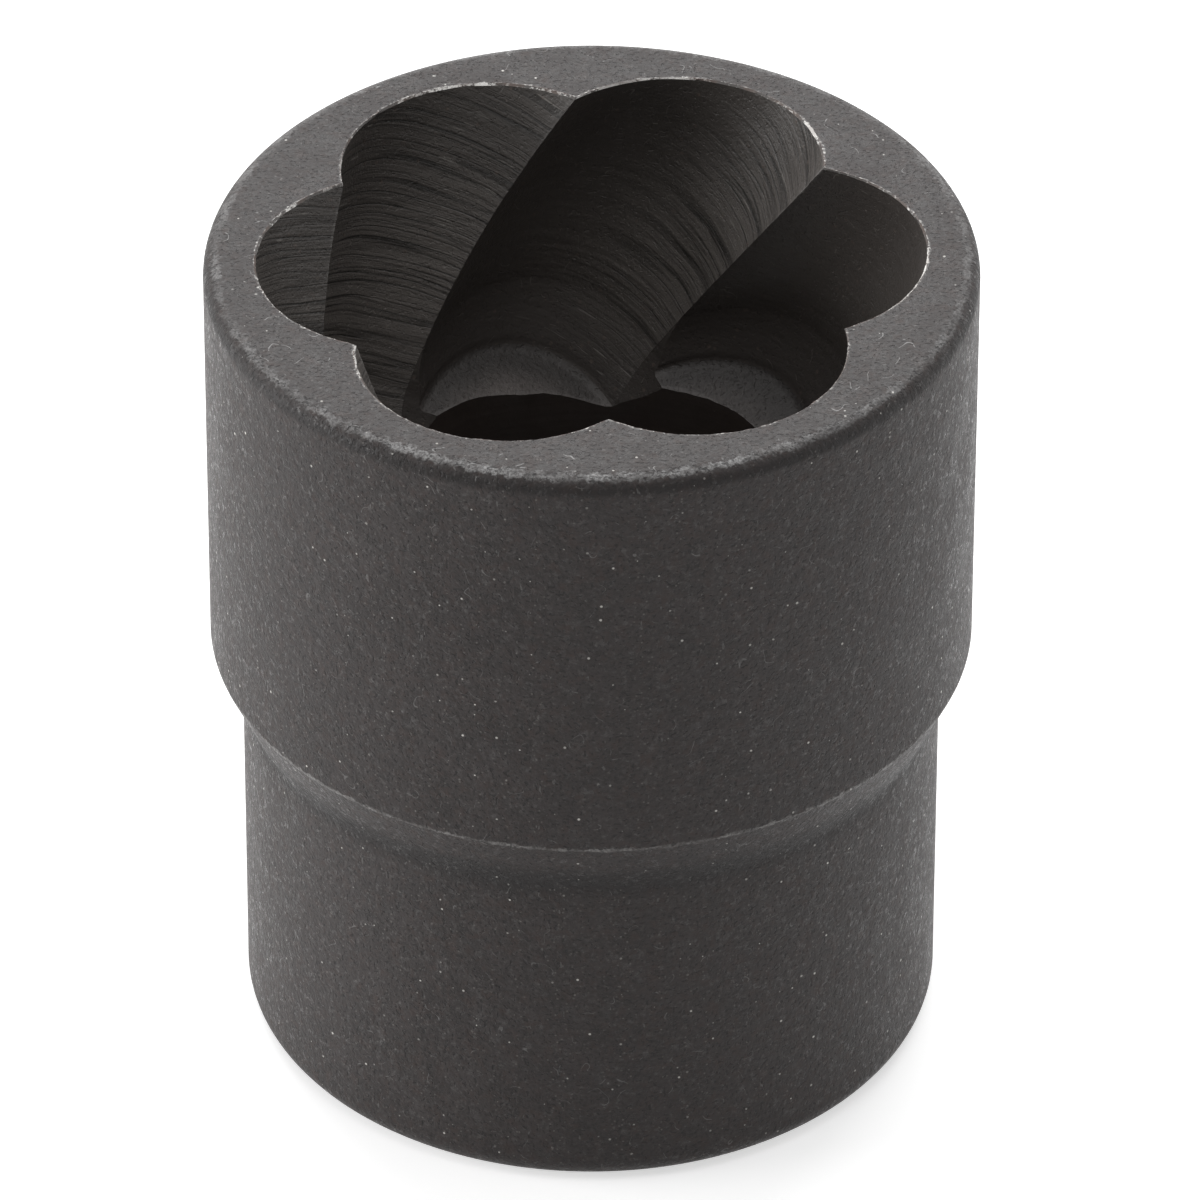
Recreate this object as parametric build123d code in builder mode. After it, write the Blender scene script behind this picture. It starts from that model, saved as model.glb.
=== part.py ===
from build123d import *
import math
import os

os.makedirs("parts", exist_ok=True)

# Bolt extractor socket, a single piece of forged and machined tool steel.
# It stands on its drive end, with its mouth up. Sizes are in millimetres.

# Blank: a short barrel with a slightly wider nose above it, joined by a tapered shoulder
length = 38.0
barrel_diameter = 30.0
nose_step = 1.35
nose_length = 19.0
shoulder_length = 2.9
mouth_rim_bevel = 0.5
base_bevel = 0.9

# Gripping cavity: round flutes that wind down left-handed and leave a sharp ridge between each two
flute_count = 6
flute_radius = 6.35
flute_mouth_wall = 2.22
flute_closing_rate = 0.1
flute_lead = 105.0
flute_start_angle = 3.4
flute_sections = 8
mouth_edge_break = 0.15

# Flute floors: flats that rise outwards from the bore, a little ahead of each flute, with a bevelled edge
floor_depth = 15.8
floor_lean = 29.7
floor_turn = 10.2
floor_bevel = 0.6

# Flat-footed clearance bore under the flutes, which the drive hole opens into
bore_diameter = 20.0
bore_depth = 22.0

# Square drive hole, its entry cone, and the groove that a drive's ball snaps into
drive_square = 12.8
drive_corner_round = 0.9
drive_entry_diameter = 17.0
drive_entry_angle = 90.0
drive_groove_diameter = 14.0
drive_groove_width = 3.6
drive_groove_height = 7.9

# How far a cutting form runs past the face that it opens through
overcut = 1.0

barrel_radius = barrel_diameter / 2
nose_radius = barrel_radius + nose_step
shoulder_top = length - nose_length
shoulder_foot = shoulder_top - shoulder_length
bore_foot = length - bore_depth
flute_mouth_reach = nose_radius - flute_mouth_wall - flute_radius


def flute_angle(depth):
    """Direction of the first flute, seen from above, at a depth below the mouth."""
    return flute_start_angle + 360 * depth / flute_lead


def flute_centre(depth):
    """Centre of the first flute at a depth below the mouth; it nears the axis as the cavity tapers."""
    reach = flute_mouth_reach - flute_closing_rate * depth
    return Vector(reach, 0, length - depth).rotate(Axis.Z, flute_angle(depth))


# One flute: a round form that winds about the axis and ends in its sloping floor
floor_rise_angle = flute_angle(floor_depth) + floor_turn
floor_normal = Axis.Z.direction.rotate(Axis.Y, -floor_lean).rotate(Axis.Z, floor_rise_angle)
floor_plane = Plane(flute_centre(floor_depth), z_dir=floor_normal)
flute_foot = floor_depth + 2 * flute_radius * math.tan(math.radians(floor_lean))

with BuildPart() as flute_form:
    for section in range(flute_sections):
        depth = section / (flute_sections - 1) * (flute_foot + overcut) - overcut
        with BuildSketch(Plane(flute_centre(depth)).rotated((0, 0, 180))):
            Circle(flute_radius)
    loft()
    split(bisect_by=floor_plane, keep=Keep.TOP)
    chamfer(flute_form.edges().sort_by(Axis.Z)[0], length=floor_bevel)

# Form of the drive end: the square hole, its entry cone and its ball groove
with BuildPart() as drive_form:
    with BuildSketch(Plane.XY.offset(-overcut)):
        RectangleRounded(drive_square, drive_square, drive_corner_round)
    extrude(amount=bore_foot + 2 * overcut)
    with BuildSketch(Plane.XZ):
        with BuildLine():
            entry_slope = math.tan(math.radians(drive_entry_angle / 2))
            entry_radius = drive_entry_diameter / 2 + overcut * entry_slope
            Polyline((0, -overcut), (entry_radius, -overcut), (0, entry_radius / entry_slope - overcut), close=True)
        make_face()
        with Locations((0, drive_groove_height)):
            Rectangle(drive_groove_diameter / 2, drive_groove_width, align=(Align.MIN, Align.CENTER))
    revolve(axis=Axis.Z)

# The blank is turned with its two rims softened, and then every form is cut out of it
with BuildPart() as extractor_socket:
    with BuildSketch(Plane.XZ):
        with BuildLine():
            Polyline(
                (0, 0),
                (barrel_radius, 0),
                (barrel_radius, shoulder_foot),
                (nose_radius, shoulder_top),
                (nose_radius, length),
                (0, length),
                close=True,
            )
        make_face()
    revolve(axis=Axis.Z)
    rims = extractor_socket.edges().filter_by(GeomType.CIRCLE).sort_by(Axis.Z)
    chamfer(rims[0], length=base_bevel)
    chamfer(rims[-1], length=mouth_rim_bevel)
    with PolarLocations(0, flute_count):
        add(flute_form.part, mode=Mode.SUBTRACT)
    with Locations((0, 0, length)):
        Hole(bore_diameter / 2, depth=bore_depth)
    add(drive_form.part, mode=Mode.SUBTRACT)
    mouth_face = extractor_socket.faces().sort_by(Axis.Z)[-1]
    chamfer(mouth_face.inner_wires().edges(), length=mouth_edge_break)

extractor_socket.part.label = "extractor_socket"
export_step(extractor_socket.part, "parts/extractor_socket.step")
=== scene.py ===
import math
import random

import bpy
import bmesh
from mathutils import Matrix, Vector, noise


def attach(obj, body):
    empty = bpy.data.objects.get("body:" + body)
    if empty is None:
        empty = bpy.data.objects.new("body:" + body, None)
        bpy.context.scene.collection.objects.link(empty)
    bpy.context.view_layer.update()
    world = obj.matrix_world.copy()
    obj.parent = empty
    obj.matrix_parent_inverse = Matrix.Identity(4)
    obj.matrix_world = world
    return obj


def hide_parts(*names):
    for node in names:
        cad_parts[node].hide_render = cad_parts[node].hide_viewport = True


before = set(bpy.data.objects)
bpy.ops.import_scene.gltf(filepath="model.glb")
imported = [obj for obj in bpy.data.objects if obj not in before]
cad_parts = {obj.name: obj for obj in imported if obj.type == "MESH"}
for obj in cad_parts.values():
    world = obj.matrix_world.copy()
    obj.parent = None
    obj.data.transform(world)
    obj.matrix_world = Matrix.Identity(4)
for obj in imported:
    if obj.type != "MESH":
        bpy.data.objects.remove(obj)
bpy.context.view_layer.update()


# The camera. It looks down at the socket from the front at 36.5 degrees, from half a metre away
# through a long lens, with the mouth in the upper half of a square picture.
nose_reach = 0.01635
look_down = math.radians(36.524)
look_from = 31.527 * nose_reach
look_at = Vector((0.000379, 0, 0.038 - 1.1030 * nose_reach))
look_along = Vector((0, math.cos(look_down), -math.sin(look_down)))
look_right = Vector((1, 0, 0))
look_up = look_right.cross(look_along)
camera_place = Matrix.Translation(look_at - look_from * look_along)
camera_turn = Matrix((look_right, look_up, -look_along)).transposed().to_4x4()
camera_roll = Matrix.Rotation(math.radians(0.12), 4, "Z")

camera_data = bpy.data.cameras.new("camera")
camera_data.lens = 360.36
camera_data.sensor_width = 36
camera_data.clip_start = 0.01
camera = bpy.data.objects.new("camera", camera_data)
camera.matrix_world = camera_place @ camera_turn @ camera_roll
bpy.context.scene.collection.objects.link(camera)
bpy.context.scene.camera = camera


# The blank. Hot-forged tool steel, turned outside to a short barrel, a tapered shoulder with a soft
# foot, and a slightly wider nose whose mouth rim is rounded over. Its sizes are in millimetres.
mm = 0.001
length = 38.0
barrel_radius = 15.0
nose_radius = 16.35
shoulder_foot = 16.1
shoulder_top = 19.0
base_round = 1.1
foot_round = 1.5
heel_round = 0.3
rim_round = 0.8
blank_segments = 256
finishes = ("Skin", "Flute Finish", "Lip Finish", "Hole Finish", "Floor Finish")


def mesh_object(name, points, faces):
    """Makes an object from points in millimetres, with all its faces turned outwards."""
    mesh = bpy.data.meshes.new(name)
    mesh.from_pydata([(x * mm, y * mm, z * mm) for x, y, z in points], [], faces)
    shell = bmesh.new()
    shell.from_mesh(mesh)
    bmesh.ops.recalc_face_normals(shell, faces=shell.faces)
    shell.to_mesh(mesh)
    shell.free()
    made = bpy.data.objects.new(name, mesh)
    bpy.context.scene.collection.objects.link(made)
    return made


def set_zone(part, finish, later_finish=None, later_from=0):
    """Numbers every face, so that the cut body still tells which tool, or which end of it, made each."""
    mark = part.data.attributes.new("zone", "INT", "FACE")
    for number, face in enumerate(mark.data):
        early = later_finish is None or number < later_from
        face.value = finishes.index(finish if early else later_finish)


def rounded(before, corner, after, radius, steps):
    """Points along a round that softens the corner of a turned profile."""
    into = (Vector(before) - Vector(corner)).normalized()
    out = (Vector(after) - Vector(corner)).normalized()
    half = into.angle(out) / 2
    middle = Vector(corner) + (into + out).normalized() * radius / math.sin(half)
    first = Vector(corner) + into * radius / math.tan(half) - middle
    last = Vector(corner) + out * radius / math.tan(half) - middle
    sweep = first.angle_signed(last)
    arc = []
    for step in range(steps + 1):
        arc.append(tuple(middle + Matrix.Rotation(-sweep * step / steps, 2) @ first))
    return arc


def turned(name, profile, segments, wobble=None):
    """Spins a profile of (radius, height) pairs about the axis; wobble may vary the radius."""
    points = []
    rows = []
    for radius, height in profile:
        if radius == 0:
            rows.append([len(points)] * segments)
            points.append((0, 0, height))
            continue
        rows.append(range(len(points), len(points) + segments))
        for step in range(segments):
            angle = math.tau * step / segments
            reach = radius + (wobble(angle, height) if wobble else 0)
            points.append((reach * math.cos(angle), reach * math.sin(angle), height))
    faces = []
    for low, high in zip(rows, rows[1:]):
        for step in range(segments):
            after = (step + 1) % segments
            corners = dict.fromkeys((low[step], low[after], high[after], high[step]))
            faces.append(list(corners))
    return mesh_object(name, points, faces)


base = (barrel_radius, 0)
foot = (barrel_radius, shoulder_foot)
heel = (nose_radius, shoulder_top)
rim = (nose_radius, length)
profile = [(0, 0), (12.5, 0), (13.7, 0)]
profile += rounded((0, 0), base, foot, base_round, 9)
profile += [(barrel_radius, 1.3), (barrel_radius, 8.0), (barrel_radius, 15.2)]
profile += rounded(base, foot, heel, foot_round, 6)
profile += rounded(foot, heel, rim, heel_round, 4)
profile += [(nose_radius, 19.3), (nose_radius, 28.0), (nose_radius, 37.0)]
profile += rounded(heel, rim, (0, length), rim_round, 9)
profile += [(15.4, length), (15.0, length), (0, length)]
blank = turned("blank", profile, blank_segments)
set_zone(blank, "Skin")


# The flutes. A round cutter plunges from the mouth along a slow left-handed spiral that also nears the
# axis, six times round. It stops on a floor that rises outwards, and leaves fine tilted tool marks.
flute_count = 6
flute_radius = 6.35
mouth_reach = 7.78
closing_rate = 0.1
flute_lead = 105.0
start_angle = 3.4
floor_depth = 15.8
floor_lean = math.tan(math.radians(29.7))
floor_turn = math.radians(10.2)
floor_rise = (floor_lean * math.cos(floor_turn), floor_lean * math.sin(floor_turn))
floor_round = 0.35
floor_round_steps = 7
floor_inset = 0.75
inset_height = 2.6
marks_rise = (0.18, 0.30)
mark_count = 132
mark_jump = 0.010
mark_ripple = 0.008
levelling_starts = 0.6
cutter_top = 42.2


def flute_centre(depth):
    """Place of the first flute's centre line, and its direction from the axis, below the mouth."""
    angle = math.radians(start_angle + 360 * depth / flute_lead)
    reach = mouth_reach - closing_rate * depth
    return Vector((reach * math.cos(angle), reach * math.sin(angle))), angle


def cut_line(height, rise, angles, reaches):
    """One line that the tool leaves round the flute, in a plane that rises outwards and sideways."""
    middle, heading = flute_centre(length - height)
    outward = Vector((math.cos(heading), math.sin(heading)))
    sideways = Vector((-outward.y, outward.x))
    line = []
    for angle, reach in zip(angles, reaches):
        level = height
        for approach in range(8):
            centre, turn = flute_centre(length - level)
            place = centre + reach * Vector((math.cos(angle + turn), math.sin(angle + turn)))
            off_middle = place - middle
            level = height + rise[0] * off_middle.dot(outward) + rise[1] * off_middle.dot(sideways)
        line.append((place.x, place.y, level))
    return line


def tube(name, lines):
    """Skins a stack of closed lines of points and closes both ends."""
    count = len(lines[0])
    points = [point for line in lines for point in line]
    faces = []
    for row in range(len(lines) - 1):
        low = row * count
        high = low + count
        for step in range(count):
            after = (step + 1) % count
            faces.append((low + step, high + step, high + after, low + after))
    for line, start in ((lines[0], 0), (lines[-1], len(points) - count)):
        points.append(tuple(sum(values) / count for values in zip(*line)))
        for step in range(count):
            faces.append((len(points) - 1, start + step, start + (step + 1) % count))
    return mesh_object(name, points, faces)


# The wall side of the cutter has close points; the side that only sweeps the open middle has few
wall_angles = [math.radians(-84 + 168 * step / 78) for step in range(79)]
wall_angles += [math.radians(84 + 192 * step / 12) for step in range(1, 12)]
shake = random.Random(5)
floor_level = length - floor_depth
wall_foot = floor_level + floor_round
lines = []
for number in range(mark_count):
    share = number / (mark_count - 1)
    level = cutter_top + (wall_foot - cutter_top) * share
    blend = max(0, (share - levelling_starts) / (1 - levelling_starts))
    blend = blend * blend * (3 - 2 * blend)
    rise = [marks_rise[axis] + (floor_rise[axis] - marks_rise[axis]) * blend for axis in (0, 1)]
    jump = shake.uniform(-mark_jump, mark_jump)
    narrowing = floor_inset * max(0, 1 - (level - floor_level - floor_round) / inset_height) ** 2
    reaches = []
    for angle in wall_angles:
        ripple = mark_ripple * noise.noise((number, 4 * angle, 0))
        reaches.append(flute_radius - narrowing + (jump + ripple))
    lines.append(cut_line(level, rise, wall_angles, reaches))

# The wall's finish runs on over the first three steps of the round, and the floor's starts after them
floor_starts = (len(lines) + 2) * len(wall_angles)
for step in range(1, floor_round_steps + 1):
    swing = math.radians(90 * step / floor_round_steps)
    level = floor_level + floor_round * (1 - math.sin(swing))
    inset = floor_inset + floor_round * (1 - math.cos(swing))
    lines.append(cut_line(level, floor_rise, wall_angles, [flute_radius - inset] * len(wall_angles)))
for inset in (1.2, 2.4, 3.8, 5.2):
    lines.append(cut_line(floor_level, floor_rise, wall_angles, [flute_radius - inset] * len(wall_angles)))
flute_cutter = tube("flute_cutter", lines)
set_zone(flute_cutter, "Flute Finish", "Floor Finish", floor_starts)

# The mouth's sharp edge is broken by hand, so its width wanders. Each row has a height and a reach
# past the flute's wall.
lip_rows = ((37.0, -0.6), (37.88, -0.04), (37.92, 0.0), (38.0, 0.06), (38.4, 0.41), (38.9, 0.41))
lip_angles = [math.radians(-110 + 220 * step / 130) for step in range(131)]
lip_angles += [math.radians(110 + 140 * step / 8) for step in range(1, 8)]
lip_lines = []
for level, out in lip_rows:
    centre, heading = flute_centre(length - min(level, length))
    line = []
    for angle in lip_angles:
        ragged = 0.05 * noise.noise((angle * 4, 0.7, 0)) + 0.06 * noise.noise((angle * 19, 3.1, 0))
        reach = flute_radius + out + (ragged if out > 0 else 0)
        turn = angle + heading
        line.append((centre.x + reach * math.cos(turn), centre.y + reach * math.sin(turn), level))
    lip_lines.append(line)
lip_cutter = tube("lip_cutter", lip_lines)
set_zone(lip_cutter, "Lip Finish")


# The clearance bore and the square drive hole. The bore is drilled flat-footed under the flutes; the
# half-inch square is pressed through from the other end, with a turned entry cone and a ball groove.
bore_radius = 10.0
bore_foot = 16.0
bore_top = 39.5
square_half = 6.4
square_corner = 0.9
entry_radius = 8.5
groove_radius = 7.0
groove_low = 6.1
groove_high = 9.7


def burr(angle, height):
    """The bore's edge is a little ragged where it breaks into the flute floors."""
    x = math.cos(angle)
    y = math.sin(angle)
    waves = 0.16 * noise.noise((4 * x, 4 * y, 0.4 * height))
    return waves + 0.06 * noise.noise((15 * x, 15 * y, 2 * height))


bore_rows = [(0, bore_foot), (9.4, bore_foot), (bore_radius, bore_foot)]
bore_rows += [(bore_radius, bore_foot + 0.5 * step) for step in range(1, 30)]
bore_rows += [(bore_radius, bore_top), (0, bore_top)]
bore_cutter = turned("bore_cutter", bore_rows, 180, burr)
set_zone(bore_cutter, "Hole Finish")

entry_cutter = turned("entry_cutter", [(0, -1), (entry_radius + 1, -1), (0, entry_radius)], 128)
set_zone(entry_cutter, "Hole Finish")

groove_rows = [(0, groove_low), (groove_radius, groove_low)]
groove_rows += [(groove_radius, groove_high), (0, groove_high)]
groove_cutter = turned("groove_cutter", groove_rows, 128)
set_zone(groove_cutter, "Hole Finish")

square_line = []
for corner in range(4):
    for step in range(7):
        angle = math.radians(90 * corner + 15 * step)
        side = math.radians(90 * corner + 45)
        inner = (square_half - square_corner) * math.sqrt(2)
        x = inner * math.cos(side) + square_corner * math.cos(angle)
        y = inner * math.sin(side) + square_corner * math.sin(angle)
        square_line.append((x, y))
square_levels = (-1, 4, 8, 12, bore_foot + 0.5)
square_cutter = tube("square_cutter", [[(x, y, level) for x, y in square_line] for level in square_levels])
set_zone(square_cutter, "Hole Finish")


# The finish. The whole socket is black phosphated after it is machined: a fine crystalline coat, satin
# to matt, with stray bright crystals and hairs, and rubbed through to grey steel along its sharp edges.
# Painted highlights lie over some of the edge wear, and painted shade darkens the rim's round, the
# shoulder's foot and parts of the flutes.
def node(tree, kind, sockets=None, **settings):
    """Adds a node, and feeds each named or numbered socket with a value or with another node's output."""
    made = tree.nodes.new(kind)
    for setting, value in settings.items():
        setattr(made, setting, value)
    for socket, value in (sockets or {}).items():
        if isinstance(value, bpy.types.NodeSocket):
            tree.links.new(value, made.inputs[socket])
        else:
            made.inputs[socket].default_value = value
    return made


def maths(tree, operation, *values):
    return node(tree, "ShaderNodeMath", dict(enumerate(values)), operation=operation).outputs[0]


def times(tree, first, second):
    return maths(tree, "MULTIPLY", first, second)


def apart(tree, value, middle):
    """How far a value is from a middle one, either way."""
    return maths(tree, "ABSOLUTE", maths(tree, "SUBTRACT", value, middle))


def grade(tree, value, low, high, to_low=0.0, to_high=1.0):
    """Maps a value softly from one span to another, and holds it at the ends."""
    sockets = {0: value, 1: low, 2: high, 3: to_low, 4: to_high}
    return node(tree, "ShaderNodeMapRange", sockets, interpolation_type="SMOOTHSTEP").outputs[0]


def fades(tree, value, low, high):
    """Is 1 up to the low value, and falls softly to 0 at the high one."""
    return maths(tree, "SUBTRACT", 1.0, grade(tree, value, low, high))


def stretched(tree, place, by):
    return node(tree, "ShaderNodeVectorMath", {0: place, 1: by}, operation="MULTIPLY").outputs[0]


def from_axis(tree, place):
    """How far a point is from the socket's axis."""
    flat = stretched(tree, place, (1, 1, 0))
    return node(tree, "ShaderNodeVectorMath", {0: flat}, operation="LENGTH").outputs["Value"]


def above(tree, place, height):
    """How far a point is above a height."""
    return maths(tree, "SUBTRACT", node(tree, "ShaderNodeSeparateXYZ", {0: place}).outputs["Z"], height)


def clouds(tree, place, scale, detail=2.0, roughness=0.5):
    """Soft noise, with its scale in features for each millimetre."""
    sockets = {"Vector": place, "Scale": scale, "Detail": detail, "Roughness": roughness}
    return node(tree, "ShaderNodeTexNoise", sockets).outputs["Fac"]


def new_group(name, inputs, outputs):
    """Starts a shader node group with named inputs, given with their defaults, and named outputs."""
    tree = bpy.data.node_groups.new(name, "ShaderNodeTree")
    for label, default in inputs.items():
        kind = "NodeSocketVector" if default is None else "NodeSocketFloat"
        socket = tree.interface.new_socket(label, in_out="INPUT", socket_type=kind)
        if default is not None:
            socket.default_value = default
    for label in outputs:
        tree.interface.new_socket(label, in_out="OUTPUT", socket_type="NodeSocketFloat")
    return tree, node(tree, "NodeGroupInput").outputs


# Where a point lies in its flute: round the flute's wall, up the tool marks, and off each sharp edge
flute_sizes = {
    "Place": None,
    "Length": length,
    "Lead": flute_lead,
    "Start Angle": math.radians(start_angle),
    "Mouth Reach": mouth_reach,
    "Closing Rate": closing_rate,
    "Flute Radius": flute_radius,
    "Floor Lean": floor_lean,
}
flute_results = ("Around", "Mark Height", "Lip Gap", "Ridge Gap", "Floor Gap", "Bore Gap", "Flute Number")
flute_place, given = new_group("flute_place", flute_sizes, flute_results)
tree = flute_place
sector = math.tau / flute_count
split_place = node(tree, "ShaderNodeSeparateXYZ", {0: given["Place"]}).outputs
depth = maths(tree, "SUBTRACT", given["Length"], split_place["Z"])
twist = times(tree, maths(tree, "DIVIDE", depth, given["Lead"]), math.tau)
twist = maths(tree, "ADD", twist, given["Start Angle"])
heading = maths(tree, "SUBTRACT", maths(tree, "ARCTAN2", split_place["Y"], split_place["X"]), twist)
folded = maths(tree, "WRAP", heading, sector / 2, -sector / 2)
off_axis = from_axis(tree, given["Place"])
reach = maths(tree, "SUBTRACT", given["Mouth Reach"], times(tree, given["Closing Rate"], depth))
outward = maths(tree, "SUBTRACT", times(tree, off_axis, maths(tree, "COSINE", folded)), reach)
sideways = times(tree, off_axis, maths(tree, "SINE", folded))
around = times(tree, maths(tree, "ARCTAN2", sideways, outward), given["Flute Radius"])
mark_height = maths(tree, "SUBTRACT", split_place["Z"], times(tree, outward, marks_rise[0]))
mark_height = maths(tree, "SUBTRACT", mark_height, times(tree, sideways, marks_rise[1]))
squares = maths(tree, "ADD", times(tree, outward, outward), times(tree, sideways, sideways))
lip_gap = maths(tree, "SUBTRACT", maths(tree, "SQRT", squares), given["Flute Radius"])
off_ridge = maths(tree, "SUBTRACT", sector / 2, maths(tree, "ABSOLUTE", folded))
ridge_gap = times(tree, off_axis, off_ridge)
floor_heading = math.radians(start_angle + 360 * floor_depth / flute_lead) + floor_turn
floor_reach = mouth_reach - closing_rate * floor_depth
floor_on_axis = length - floor_depth - floor_lean * floor_reach * math.cos(floor_turn)
uphill = maths(tree, "ADD", folded, maths(tree, "SUBTRACT", twist, floor_heading))
uphill = times(tree, off_axis, maths(tree, "COSINE", uphill))
floor_height = maths(tree, "ADD", times(tree, uphill, given["Floor Lean"]), floor_on_axis)
floor_gap = maths(tree, "SUBTRACT", split_place["Z"], floor_height)
bore_gap = maths(tree, "SUBTRACT", off_axis, bore_radius)
number = maths(tree, "DIVIDE", maths(tree, "SUBTRACT", heading, folded), sector)
number = maths(tree, "WRAP", maths(tree, "ROUND", number), flute_count, 0.0)
results = (around, mark_height, lip_gap, ridge_gap, floor_gap, bore_gap, number)
node(tree, "NodeGroupOutput", dict(enumerate(results)))

# The coat's crystals: a mottled tone, bright specks, paler flakes, fine hairs, dark pits and a relief
grain_sizes = {"Place": None, "Grain Size": 0.17, "Speck Spacing": 0.48, "Speck Size": 0.055}
grain_results = ("Tone", "Specks", "Flakes", "Hairs", "Pits", "Relief")
phosphate_grain, given = new_group("phosphate_grain", grain_sizes, grain_results)
tree = phosphate_grain
place = given["Place"]
per_grain = maths(tree, "DIVIDE", 1.0, given["Grain Size"])
fine = clouds(tree, place, per_grain, 3.0, 0.62)
broad = clouds(tree, place, 0.55, 3.0, 0.6)
tone = maths(tree, "ADD", times(tree, fine, 0.6), times(tree, broad, 0.4))
tone = grade(tree, tone, 0.36, 0.64)
per_speck = maths(tree, "DIVIDE", 1.0, given["Speck Spacing"])
cells = node(tree, "ShaderNodeTexVoronoi", {"Vector": place, "Scale": per_speck}).outputs
lively = node(tree, "ShaderNodeSeparateColor", {0: cells["Color"]}).outputs
off_speck = times(tree, cells["Distance"], given["Speck Spacing"])
speck_size = times(tree, given["Speck Size"], grade(tree, lively[1], 0.0, 1.0, 0.5, 1.4))
specks = fades(tree, off_speck, times(tree, speck_size, 0.5), speck_size)
specks = times(tree, specks, grade(tree, lively[0], 0.50, 1.0, 0.05, 1.0))
per_flake = times(tree, per_speck, 1.9)
small_cells = node(tree, "ShaderNodeTexVoronoi", {"Vector": place, "Scale": per_flake}).outputs
lively = node(tree, "ShaderNodeSeparateColor", {0: small_cells["Color"]}).outputs
flakes = fades(tree, small_cells["Distance"], 0.10, 0.26)
flakes = times(tree, flakes, grade(tree, lively[1], 0.45, 0.95))
strand = apart(tree, clouds(tree, place, 0.9, 1.0, 0.4), 0.5)
hairs = fades(tree, strand, 0.002, 0.008)
hairs = times(tree, hairs, grade(tree, clouds(tree, place, 1.3, 0.0), 0.66, 0.71))
pits = grade(tree, clouds(tree, place, times(tree, per_grain, 1.1), 0.0), 0.64, 0.74)
swell = clouds(tree, place, times(tree, per_grain, 0.4), 2.0)
relief = maths(tree, "ADD", fine, times(tree, swell, 1.2))
relief = maths(tree, "SUBTRACT", relief, times(tree, pits, 0.5))
node(tree, "NodeGroupOutput", dict(enumerate((tone, specks, flakes, hairs, pits, relief))))

# Wear along an edge, which also carries the painted highlights on the rim, the heel and the ridges:
# strongest on the edge, with a ragged border and bare patches
wear_sizes = {"Place": None, "Gap": 1.0, "Width": 0.15, "Patchiness": 0.5}
edge_wear_and_highlight, given = new_group("edge_wear_and_highlight", wear_sizes, ("Wear And Highlight",))
tree = edge_wear_and_highlight
ragged = grade(tree, clouds(tree, given["Place"], 2.6, 3.0, 0.65), 0.3, 0.7, 0.35, 1.65)
width = times(tree, given["Width"], ragged)
wear_and_highlight = fades(tree, maths(tree, "ABSOLUTE", given["Gap"]), times(tree, width, 0.35), width)
patches = grade(tree, clouds(tree, given["Place"], 0.8, 2.0), 0.40, 0.60)
patches = times(tree, maths(tree, "SUBTRACT", patches, 1.0), given["Patchiness"])
patches = maths(tree, "ADD", patches, 1.0)
node(tree, "NodeGroupOutput", {0: times(tree, wear_and_highlight, patches)})

# Milling marks: uneven lines across the flute, some deep and dark, with finer ones between
mark_sizes = {"Around": 0.0, "Mark Height": 0.0, "Flute Number": 0.0, "Spacing": 0.48}
milling_marks, given = new_group("milling_marks", mark_sizes, ("Lines", "Sheen", "Scars", "Relief"))
tree = milling_marks
wide_around = times(tree, given["Around"], 0.2)
wide_height = times(tree, given["Mark Height"], 0.3)
bend = {0: wide_around, 1: wide_height, 2: given["Flute Number"]}
bend = node(tree, "ShaderNodeCombineXYZ", bend).outputs[0]
bend = times(tree, clouds(tree, bend, 1.0, 1.0), 0.5)
along = times(tree, given["Around"], 0.045)
across = maths(tree, "DIVIDE", maths(tree, "ADD", given["Mark Height"], bend), given["Spacing"])
strip = {0: along, 1: across, 2: times(tree, given["Flute Number"], 7.3)}
strip = node(tree, "ShaderNodeCombineXYZ", strip).outputs[0]
coarse = clouds(tree, strip, 1.0, 1.0, 0.5)
middling = clouds(tree, strip, 2.7, 1.0, 0.6)
fine = clouds(tree, strip, 7.0, 2.0, 0.7)
deep = fades(tree, apart(tree, coarse, 0.52), 0.0, 0.055)
light = fades(tree, apart(tree, middling, 0.5), 0.0, 0.07)
cut_lines = maths(tree, "ADD", times(tree, deep, 0.7), times(tree, light, 0.45))
cut_lines = maths(tree, "MINIMUM", cut_lines, 1.0)
relief = maths(tree, "ADD", times(tree, middling, 0.8), times(tree, fine, 0.5))
relief = maths(tree, "SUBTRACT", relief, times(tree, cut_lines, 0.5))
scars = clouds(tree, stretched(tree, strip, (14.0, 4.5, 1.0)), 1.0, 0.0)
scars = grade(tree, scars, 0.77, 0.84)
node(tree, "NodeGroupOutput", dict(enumerate((cut_lines, fine, scars, relief))))


def new_material(name):
    material = bpy.data.materials.new(name)
    material.use_nodes = True
    material.node_tree.nodes.clear()
    return material, material.node_tree


def place_in_millimetres(tree):
    """Where a point is on the socket, from the middle of its base."""
    metres = node(tree, "ShaderNodeTexCoord").outputs["Object"]
    return node(tree, "ShaderNodeVectorMath", {0: metres, "Scale": 1000.0}, operation="SCALE").outputs[0]


def effect(tree, group, sockets):
    """Puts one of the shared effects into a material, and gives its results by name."""
    return node(tree, "ShaderNodeGroup", sockets, node_tree=group).outputs


def inner_grain(tree, place):
    """The coat inside the mouth, with finer and fewer specks than outside."""
    sizes = {"Place": place, "Grain Size": 0.16, "Speck Spacing": 0.9, "Speck Size": 0.045}
    return effect(tree, phosphate_grain, sizes)


def worn_and_highlit_along(tree, place, gap, width, patchiness):
    """Wear along the edge that a gap is measured from, and on the rim, the heel and the ridges a painted
    highlight too.
    """
    sizes = {"Place": place, "Gap": gap, "Width": width, "Patchiness": patchiness}
    return effect(tree, edge_wear_and_highlight, sizes)["Wear And Highlight"]


def mix_colour(tree, share, first, second):
    """Mixes two colours, each of them a tint or another node's output."""
    sockets = {0: share, 6: first, 7: second}
    for socket in (6, 7):
        if isinstance(sockets[socket], tuple):
            sockets[socket] = (*sockets[socket], 1)
    return node(tree, "ShaderNodeMix", sockets, data_type="RGBA").outputs[2]


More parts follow.
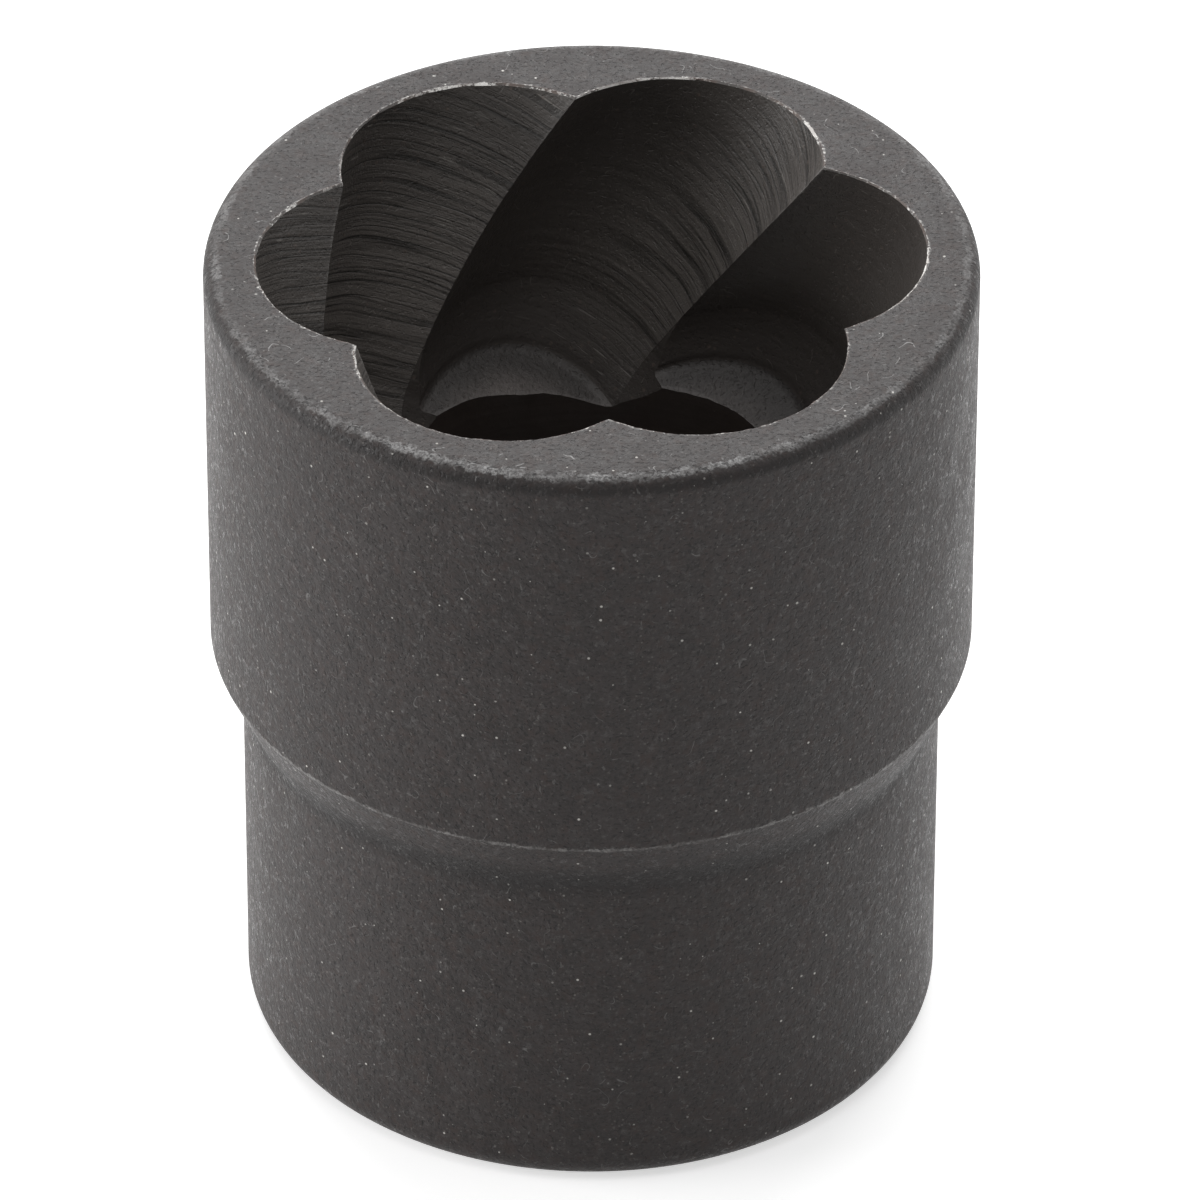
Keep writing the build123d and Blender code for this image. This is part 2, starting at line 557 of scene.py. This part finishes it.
def paint(tree, colour, tint, mask, strength=None):
    """Lays a tint over a colour where the mask is, as strongly as is asked."""
    if strength is not None:
        mask = times(tree, mask, strength)
    return mix_colour(tree, mask, colour, tint)


def finish_material(tree, colour, roughness, relief, depth, specular):
    """Closes a material: its shader, with a relief of the given depth in metres."""
    bump = node(tree, "ShaderNodeBump", {"Strength": 1.0, "Distance": depth, "Height": relief})
    sockets = {"Base Color": colour, "Roughness": roughness, "Specular IOR Level": specular}
    shader = node(tree, "ShaderNodeBsdfPrincipled", {**sockets, "Normal": bump.outputs[0]})
    node(tree, "ShaderNodeOutputMaterial", {"Surface": shader.outputs[0]})


# The skin: the coat on the turned outside and the top of the mouth, with its smudges and scratches,
# bare along the rim, the shoulder's heel and the flutes' lip, with painted highlights over the rim and
# the heel, a faint painted glint in glossy spots, and painted shade on the rim's round and in the
# shoulder's foot
coat_black = (0.017, 0.0137, 0.013)
coat_grey = (0.045, 0.039, 0.038)
cloud_brown = (0.042, 0.028, 0.024)
smudge_grey = (0.054, 0.049, 0.048)
rim_shade_black = (0.006, 0.005, 0.005)
foot_shade_black = (0.008, 0.007, 0.007)
heel_steel_and_highlight = (0.230, 0.222, 0.215)
rim_steel_and_highlight = (0.300, 0.296, 0.294)
lip_rust = (0.080, 0.042, 0.032)
burr_white = (0.66, 0.64, 0.61)
painted_glint_grey = (0.20, 0.19, 0.185)
scratch_grey = (0.150, 0.144, 0.140)
flake_grey = (0.150, 0.140, 0.131)
hair_grey = (0.32, 0.315, 0.31)
speck_white = (0.70, 0.68, 0.64)
pit_black = (0.010, 0.009, 0.009)
rim_edge = nose_radius - 0.45

skin, tree = new_material("phosphate_skin")
place = place_in_millimetres(tree)
grain = effect(tree, phosphate_grain, {"Place": place})
spot = effect(tree, flute_place, {"Place": place})
over_mouth = above(tree, place, length)
on_top = grade(tree, over_mouth, -0.10, -0.02)
grainy = grade(tree, clouds(tree, place, 8.0, 2.0, 0.7), 0.36, 0.64, 0.30, 1.0)
colour = mix_colour(tree, grain["Tone"], coat_black, coat_grey)
brown_clouds = grade(tree, clouds(tree, place, 1.8, 3.0, 0.7), 0.45, 0.75, 0.0, 0.6)
colour = paint(tree, colour, cloud_brown, brown_clouds)
smudges = grade(tree, clouds(tree, place, 0.8, 4.0, 0.75), 0.52, 0.74, 0.0, 0.6)
colour = paint(tree, colour, smudge_grey, smudges)
# Painted shade: a dark band on the lower part of the rim's round
rim_shade = fades(tree, apart(tree, over_mouth, -0.5), 0.05, 0.36)
colour = paint(tree, colour, rim_shade_black, rim_shade, 0.65)
# Painted shade: a soft dark band in the foot of the shoulder
foot_shade = maths(tree, "ABSOLUTE", above(tree, place, shoulder_foot + 0.3))
colour = paint(tree, colour, foot_shade_black, fades(tree, foot_shade, 0.2, 1.3), 0.75)
# The heel's edge: worn steel, with a painted highlight laid in the same band
heel_wear_and_highlight = worn_and_highlit_along(tree, place, above(tree, place, shoulder_top), width=0.13, patchiness=0.6)
colour = paint(tree, colour, heel_steel_and_highlight, heel_wear_and_highlight, grainy)
# The rim: worn steel with a painted highlight over it, stronger at the front; the lip's wear is real
rim_gap = maths(tree, "SUBTRACT", over_mouth, maths(tree, "SUBTRACT", from_axis(tree, place), rim_edge))
rim_wear_and_highlight = worn_and_highlit_along(tree, place, rim_gap, width=0.34, patchiness=0.55)
forward = node(tree, "ShaderNodeSeparateXYZ", {0: place}).outputs["Y"]
rim_wear_and_highlight = times(tree, rim_wear_and_highlight, grade(tree, forward, -15.5, -8.0, 1.0, 0.45))
lip_wear = worn_and_highlit_along(tree, place, spot["Lip Gap"], width=0.13, patchiness=0.6)
lip_wear = times(tree, lip_wear, on_top)
worn_and_highlit = maths(tree, "MAXIMUM", times(tree, rim_wear_and_highlight, grainy), times(tree, lip_wear, 0.6))
colour = paint(tree, colour, rim_steel_and_highlight, worn_and_highlit)
rusty = times(tree, grade(tree, spot["Lip Gap"], 0.11, 0.04), on_top)
colour = paint(tree, colour, lip_rust, rusty, 0.7)
burrs = grade(tree, clouds(tree, place, 5.5, 1.0), 0.50, 0.60)
colour = paint(tree, colour, burr_white, lip_wear, burrs)
# Glossy spots on the sides: a smoother coat, and a faint painted glint in their colour
glossy_spots = grade(tree, clouds(tree, place, 3.2, 3.0, 0.8), 0.56, 0.62)
glossy_spots = times(tree, glossy_spots, maths(tree, "MULTIPLY_ADD", on_top, -0.85, 1.0))
colour = paint(tree, colour, painted_glint_grey, glossy_spots, 0.10)
scratches = clouds(tree, stretched(tree, place, (1.5, 1.5, 0.7)), 2.0, 2.0, 0.6)
scratches = grade(tree, scratches, 0.70, 0.74)
colour = paint(tree, colour, scratch_grey, scratches, 0.5)
colour = paint(tree, colour, flake_grey, grain["Flakes"], 0.6)
colour = paint(tree, colour, hair_grey, grain["Hairs"], maths(tree, "MULTIPLY_ADD", on_top, 0.5, 0.3))
colour = paint(tree, colour, speck_white, grain["Specks"], 0.9)
colour = paint(tree, colour, pit_black, grain["Pits"], 0.6)
roughness = grade(tree, grain["Tone"], 0.0, 1.0, 0.44, 0.60)
roughness = maths(tree, "SUBTRACT", roughness, times(tree, glossy_spots, 0.22))
relief = maths(tree, "SUBTRACT", grain["Relief"], times(tree, scratches, 0.6))
finish_material(tree, colour, roughness, relief, depth=0.000046, specular=0.24)

# The flutes' walls: milled, then coated more thinly than the outside, so that the tool's lines show.
# Some walls were cut more cleanly than others and carry painted shade; all are darker by the mouth, and
# painted shade darkens them at the foot.
wall_brown = (0.110, 0.099, 0.090)
wall_grey = (0.176, 0.159, 0.146)
mouth_shade = (0.026, 0.022, 0.020)
clean_cut_shade = (0.032, 0.027, 0.024)
line_black = (0.010, 0.009, 0.008)
wall_foot_shade_black = (0.034, 0.028, 0.025)
ridge_steel_and_highlight = (0.22, 0.21, 0.20)
scuff_and_highlight_grey = (0.150, 0.140, 0.135)
scar_grey = (0.210, 0.195, 0.180)
inner_speck = (0.30, 0.27, 0.25)
inner_flake = (0.125, 0.095, 0.080)
inner_hair = (0.26, 0.24, 0.22)

milled, tree = new_material("milled_flute")
place = place_in_millimetres(tree)
grain = inner_grain(tree, place)
spot = effect(tree, flute_place, {"Place": place})
mark_place = {label: spot[label] for label in ("Around", "Mark Height", "Flute Number")}
marks = effect(tree, milling_marks, mark_place)
over_mouth = above(tree, place, length)
colour = mix_colour(tree, marks["Sheen"], wall_brown, wall_grey)
colour = paint(tree, colour, mouth_shade, grade(tree, over_mouth, -8.0, -0.5), 0.66)
lined = maths(tree, "SUBTRACT", spot["Flute Number"], maths(tree, "DIVIDE", spot["Around"], 8.0))
lined = grade(tree, lined, 0.8, 1.7, 0.08, 1.0)
# Painted shade: where the walls are cut cleanly, in the first flutes, they are painted darker too
colour = paint(tree, colour, clean_cut_shade, maths(tree, "SUBTRACT", 1.0, lined), 0.6)
colour = paint(tree, colour, line_black, times(tree, marks["Lines"], 0.92), lined)
# Painted shade: the walls darken towards the floor, somewhat less from the third flute on
low_down_shade = fades(tree, spot["Floor Gap"], 0.4, 5.0)
low_down_shade = times(tree, low_down_shade, grade(tree, spot["Flute Number"], 1.2, 1.8, 1.0, 0.7))
colour = paint(tree, colour, wall_foot_shade_black, low_down_shade, 0.85)
# The ridges: worn steel along the crests, with a painted highlight in the same band
ridge_wear_and_highlight = worn_and_highlit_along(tree, place, spot["Ridge Gap"], width=0.09, patchiness=0.8)
ridge_wear_and_highlight = times(tree, ridge_wear_and_highlight, grade(tree, over_mouth, -6.0, -0.5))
colour = paint(tree, colour, ridge_steel_and_highlight, ridge_wear_and_highlight, 0.6)
# A lighter band along one side of each ridge: scuffs, and a painted highlight
scuffed_and_highlit = times(tree, grade(tree, spot["Ridge Gap"], 1.5, 0.0), grade(tree, spot["Around"], 0.0, -4.0))
scuffed_and_highlit = times(tree, scuffed_and_highlit, grade(tree, clouds(tree, place, 6.0, 3.0, 0.7), 0.40, 0.66))
colour = paint(tree, colour, scuff_and_highlight_grey, scuffed_and_highlit, 0.3)
colour = paint(tree, colour, scar_grey, marks["Scars"], times(tree, lined, 0.7))
colour = paint(tree, colour, inner_speck, grain["Specks"], 0.5)
colour = paint(tree, colour, inner_flake, grain["Flakes"], 0.4)
colour = paint(tree, colour, inner_hair, grain["Hairs"], 0.35)
roughness = grade(tree, marks["Sheen"], 0.3, 0.7, 0.40, 0.55)
roughness = maths(tree, "ADD", roughness, times(tree, low_down_shade, 0.25))
relief = times(tree, marks["Relief"], times(tree, lined, 1.3))
relief = maths(tree, "ADD", relief, times(tree, grain["Relief"], 1.6))
finish_material(tree, colour, roughness, relief, depth=0.000016, specular=0.4)

# The flutes' floors: a smooth flat cut that is lighter towards the bore and the ridges, with painted
# shade under the wall, and a darker copy painted as shade in the first flute
shaded_floor_dark = (0.040, 0.034, 0.032)
shaded_floor_light = (0.082, 0.072, 0.068)
floor_dark = (0.082, 0.071, 0.066)
floor_light = (0.150, 0.132, 0.124)
under_wall_shade = (0.026, 0.0225, 0.021)
tip_grey = (0.170, 0.155, 0.148)
bore_edge_steel = (0.15, 0.14, 0.135)
floor_speck = (0.30, 0.28, 0.26)

floored, tree = new_material("flute_floor")
place = place_in_millimetres(tree)
grain = inner_grain(tree, place)
spot = effect(tree, flute_place, {"Place": place})
# Painted shade: the first flute's floor is a darker copy of the others
shaded_first_floor = mix_colour(tree, grain["Tone"], shaded_floor_dark, shaded_floor_light)
colour = mix_colour(tree, grain["Tone"], floor_dark, floor_light)
colour = mix_colour(tree, grade(tree, spot["Flute Number"], 0.2, 0.8), shaded_first_floor, colour)
# Painted shade: the floor darkens under the wall
colour = paint(tree, colour, under_wall_shade, grade(tree, spot["Lip Gap"], -2.9, -1.3), 0.85)
colour = paint(tree, colour, tip_grey, grade(tree, spot["Ridge Gap"], 1.6, 0.3), 0.35)
bore_wear = worn_and_highlit_along(tree, place, spot["Bore Gap"], width=0.13, patchiness=0.4)
colour = paint(tree, colour, bore_edge_steel, bore_wear, 0.6)
colour = paint(tree, colour, floor_speck, grain["Specks"], 0.4)
finish_material(tree, colour, 0.5, grain["Relief"], depth=0.000030, specular=0.35)

# The broken lip: filed through the coat, so bare steel shows in patches with a little rust
lip_grey = (0.075, 0.068, 0.064)
lip_steel = (0.85, 0.83, 0.80)
fresh_rust = (0.110, 0.060, 0.040)

rubbed, tree = new_material("rubbed_lip")
place = place_in_millimetres(tree)
grain = effect(tree, phosphate_grain, {"Place": place, "Grain Size": 0.12})
spot = effect(tree, flute_place, {"Place": place})
bare = grade(tree, clouds(tree, place, 0.35, 1.0), 0.35, 0.62, 0.70, 1.25)
bare = times(tree, clouds(tree, place, 3.2, 3.0, 0.7), bare)
bare = times(tree, bare, grade(tree, spot["Flute Number"], 2.2, 2.8, 0.97, 0.84))
bare = grade(tree, bare, 0.44, 0.60)
rust = grade(tree, clouds(tree, place, 0.9, 2.0, 0.6), 0.45, 0.62)
colour = mix_colour(tree, bare, lip_grey, lip_steel)
colour = paint(tree, colour, fresh_rust, rust, 0.35)
roughness = grade(tree, bare, 0.0, 1.0, 0.55, 0.36)
finish_material(tree, colour, roughness, grain["Relief"], depth=0.000016, specular=0.5)

# The bore and the drive hole: dark, with fine rings from the drill
hole_black = (0.030, 0.022, 0.019)
hole_brown = (0.064, 0.052, 0.046)
hole_speck = (0.20, 0.19, 0.18)

bored, tree = new_material("bored_hole")
place = place_in_millimetres(tree)
grain = effect(tree, phosphate_grain, {"Place": place, "Grain Size": 0.2, "Speck Spacing": 1.1})
rings = clouds(tree, stretched(tree, place, (0.06, 0.06, 1.0)), 4.0, 3.0, 0.7)
colour = mix_colour(tree, rings, hole_black, hole_brown)
colour = paint(tree, colour, hole_speck, grain["Specks"], 0.3)
relief = maths(tree, "ADD", rings, times(tree, grain["Relief"], 0.5))
finish_material(tree, colour, 0.5, relief, depth=0.000012, specular=0.4)


# The body. Every form is taken out of the blank: the flute and the mouth edge six times round the
# axis, and the holes once. What is left is one piece of steel, and each cut keeps its own finish.
crease_angle = math.radians(28)
cutting = bpy.data.node_groups.new("cut_six_flutes", "GeometryNodeTree")
cutting.interface.new_socket("Blank", in_out="INPUT", socket_type="NodeSocketGeometry")
cutting.interface.new_socket("Body", in_out="OUTPUT", socket_type="NodeSocketGeometry")
body_parts = {
    "Flute Count": flute_count,
    "Flute Cutter": flute_cutter,
    "Lip Cutter": lip_cutter,
    "Bore Cutter": bore_cutter,
    "Entry Cutter": entry_cutter,
    "Groove Cutter": groove_cutter,
    "Square Cutter": square_cutter,
    "Skin": skin,
    "Flute Finish": milled,
    "Lip Finish": rubbed,
    "Hole Finish": bored,
    "Floor Finish": floored,
}
cutting_inputs = {}
for name, value in body_parts.items():
    kind = "NodeSocketInt"
    if isinstance(value, bpy.types.Object):
        kind = "NodeSocketObject"
    if isinstance(value, bpy.types.Material):
        kind = "NodeSocketMaterial"
    cutting_inputs[name] = cutting.interface.new_socket(name, in_out="INPUT", socket_type=kind).identifier
given = node(cutting, "NodeGroupInput").outputs
spots = node(cutting, "GeometryNodePoints", {"Count": given["Flute Count"]})
pitch = maths(cutting, "DIVIDE", math.tau, given["Flute Count"])
turn = times(cutting, node(cutting, "GeometryNodeInputIndex").outputs[0], pitch)
turn_about_axis = node(cutting, "ShaderNodeCombineXYZ", {"Z": turn}).outputs[0]
to_cut = {"Mesh 1": given["Blank"]}
cut = node(cutting, "GeometryNodeMeshBoolean", to_cut, operation="DIFFERENCE", solver="MANIFOLD")
for name in ("Flute Cutter", "Lip Cutter"):
    shape = node(cutting, "GeometryNodeObjectInfo", {"Object": given[name]}).outputs["Geometry"]
    sockets = {"Points": spots.outputs[0], "Instance": shape, "Rotation": turn_about_axis}
    ring = node(cutting, "GeometryNodeInstanceOnPoints", sockets)
    cutting.links.new(ring.outputs[0], cut.inputs["Mesh 2"])
for name in ("Bore Cutter", "Entry Cutter", "Groove Cutter", "Square Cutter"):
    shape = node(cutting, "GeometryNodeObjectInfo", {"Object": given[name], "As Instance": True})
    cutting.links.new(shape.outputs["Geometry"], cut.inputs["Mesh 2"])
shaped = node(cutting, "GeometryNodeRealizeInstances", {"Geometry": cut.outputs[0]}).outputs[0]
zone = node(cutting, "GeometryNodeInputNamedAttribute", {"Name": "zone"}, data_type="INT").outputs[0]
for number, name in enumerate(finishes):
    same = {2: zone, 3: number}
    chosen = node(cutting, "FunctionNodeCompare", same, data_type="INT", operation="EQUAL").outputs[0]
    sockets = {"Geometry": shaped, "Selection": chosen, "Material": given[name]}
    shaped = node(cutting, "GeometryNodeSetMaterial", sockets).outputs[0]
node(cutting, "NodeGroupOutput", {"Body": shaped})

cut_modifier = blank.modifiers.new("cut", "NODES")
cut_modifier.node_group = cutting
for name, value in body_parts.items():
    cut_modifier[cutting_inputs[name]] = value
cut_blank = blank.evaluated_get(bpy.context.evaluated_depsgraph_get())
body_mesh = bpy.data.meshes.new_from_object(cut_blank)
body_mesh.name = "extractor_body"
body_mesh.shade_smooth()
body_mesh.set_sharp_from_angle(angle=crease_angle)
body = bpy.data.objects.new("extractor_body", body_mesh)
bpy.context.scene.collection.objects.link(body)
for tool in (blank, flute_cutter, lip_cutter, bore_cutter, entry_cutter, groove_cutter, square_cutter):
    bpy.data.objects.remove(tool)

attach(body, "root")
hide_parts("extractor_socket")


# The studio. A plain pale floor and a soft even surround, which both look white, and wide soft lights
# overhead, at the left and the right, and behind. The floor keeps the socket's shadow.
studio_floor_level = -0.02
studio_floor_radius = 900
floor_paint = 0.8
floor_lift = 0.58
surround_glow = 0.2
white = (1, 1, 1, 1)


def looks_white(tree):
    """Is 1 for what the camera sees, also in a reflection or through glass, and 0 for other light."""
    path = node(tree, "ShaderNodeLightPath").outputs
    seen = maths(tree, "MAXIMUM", path["Is Camera Ray"], path["Is Glossy Ray"])
    return maths(tree, "MAXIMUM", seen, path["Is Transmission Ray"])


floor = turned("floor", [(0, studio_floor_level), (studio_floor_radius, studio_floor_level)], 96)
floor_look, tree = new_material("pale_floor")
matt = node(tree, "ShaderNodeBsdfDiffuse", {"Color": (floor_paint, floor_paint, floor_paint, 1)})
strength = times(tree, looks_white(tree), floor_lift)
lift = node(tree, "ShaderNodeEmission", {"Color": white, "Strength": strength})
both = node(tree, "ShaderNodeAddShader", {0: matt.outputs[0], 1: lift.outputs[0]})
node(tree, "ShaderNodeOutputMaterial", {"Surface": both.outputs[0]})
floor.data.materials.append(floor_look)

world = bpy.data.worlds.new("surround")
bpy.context.scene.world = world
world.use_nodes = True
tree = world.node_tree
tree.nodes.clear()
strength = maths(tree, "MULTIPLY_ADD", looks_white(tree), 1 - surround_glow, surround_glow)
glow = node(tree, "ShaderNodeBackground", {"Color": white, "Strength": strength})
node(tree, "ShaderNodeOutputWorld", {"Surface": glow.outputs[0]})


def soft_light(name, place, aim, size, power):
    """A flat lamp of a width and height in metres, turned to the point it aims at."""
    lamp = bpy.data.lights.new(name, "AREA")
    lamp.shape = "RECTANGLE"
    lamp.size = size[0]
    lamp.size_y = size[1]
    lamp.energy = power
    holder = bpy.data.objects.new(name, lamp)
    direction = Vector(aim) - Vector(place)
    turn = direction.to_track_quat("-Z", "Y").to_matrix().to_4x4()
    holder.matrix_world = Matrix.Translation(place) @ turn
    bpy.context.scene.collection.objects.link(holder)


upper_barrel = (0, 0, 0.03)
mouth_middle = (0, 0, 0.038)
soft_light("overhead_light", (0.0, 0.02, 0.60), upper_barrel, (0.6, 0.6), 1.45)
soft_light("left_light", (-0.50, -0.02, 0.13), upper_barrel, (0.30, 0.24), 2.0)
soft_light("right_light", (0.50, 0.06, 0.13), upper_barrel, (0.30, 0.24), 0.3)
soft_light("back_light", (0.0, 0.50, 0.41), mouth_middle, (0.7, 0.35), 3.9)

bpy.context.scene.view_settings.view_transform = "Standard"
